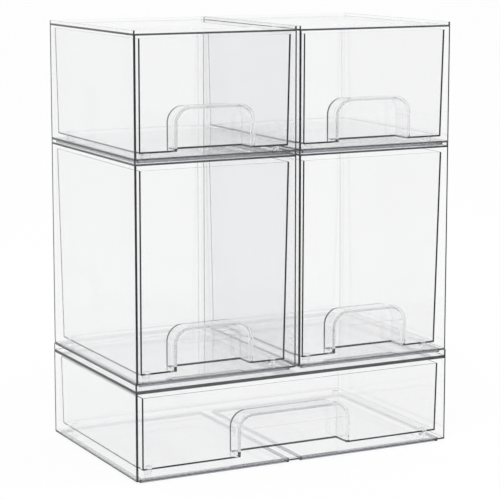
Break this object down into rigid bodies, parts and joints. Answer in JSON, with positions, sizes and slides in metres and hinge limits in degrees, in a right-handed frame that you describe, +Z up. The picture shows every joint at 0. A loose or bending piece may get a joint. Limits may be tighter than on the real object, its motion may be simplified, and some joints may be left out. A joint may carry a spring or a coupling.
{
  "type": "stackable drawer organizer",
  "caption": "Clear stacking drawer organizer: wide low unit below, side-by-side tall and short units above, each drawer with an arched recessed finger pull.",
  "frame": {"origin": "on the resting surface, under the centre of the bounding box", "axes": "+Z up, the drawer fronts face -Y, +X to the right of someone facing the drawers"},
  "size_m": [0.32, 0.195, 0.398],
  "materials": {
    "case_clear": "clear, polished",
    "drawer_clear": "clear, polished"
  },
  "bodies": {
    "wide_case": {"wide_case": "case_clear"},
    "wide_drawer": {"wide_drawer": "drawer_clear"},
    "tall_case_left": {"tall_case_left": "case_clear"},
    "tall_drawer_left": {"tall_drawer_left": "drawer_clear"},
    "tall_case_right": {"tall_case_right": "case_clear"},
    "tall_drawer_right": {"tall_drawer_right": "drawer_clear"},
    "short_case_left": {"short_case_left": "case_clear"},
    "short_drawer_left": {"short_drawer_left": "drawer_clear"},
    "short_case_right": {"short_case_right": "case_clear"},
    "short_drawer_right": {"short_drawer_right": "drawer_clear"}
  },
  "joints": [
    {"name": "wide_drawer_slide", "type": "slide", "parent": "wide_case", "child": "wide_drawer", "axis": [0, -1, 0], "range_m": [0, 0.15]},
    {"name": "tall_drawer_left_slide", "type": "slide", "parent": "tall_case_left", "child": "tall_drawer_left", "axis": [0, -1, 0], "range_m": [0, 0.15]},
    {"name": "tall_drawer_right_slide", "type": "slide", "parent": "tall_case_right", "child": "tall_drawer_right", "axis": [0, -1, 0], "range_m": [0, 0.15]},
    {"name": "short_drawer_left_slide", "type": "slide", "parent": "short_case_left", "child": "short_drawer_left", "axis": [0, -1, 0], "range_m": [0, 0.15]},
    {"name": "short_drawer_right_slide", "type": "slide", "parent": "short_case_right", "child": "short_drawer_right", "axis": [0, -1, 0], "range_m": [0, 0.15]},
    {"name": "tall_case_left_lift", "type": "slide", "parent": "wide_case", "child": "tall_case_left", "axis": [0, 0, 1], "range_m": [0, 0.06]},
    {"name": "short_case_left_lift", "type": "slide", "parent": "tall_case_left", "child": "short_case_left", "axis": [0, 0, 1], "range_m": [0, 0.06]},
    {"name": "tall_case_right_lift", "type": "slide", "parent": "wide_case", "child": "tall_case_right", "axis": [0, 0, 1], "range_m": [0, 0.06]},
    {"name": "short_case_right_lift", "type": "slide", "parent": "tall_case_right", "child": "short_case_right", "axis": [0, 0, 1], "range_m": [0, 0.06]}
  ]
}
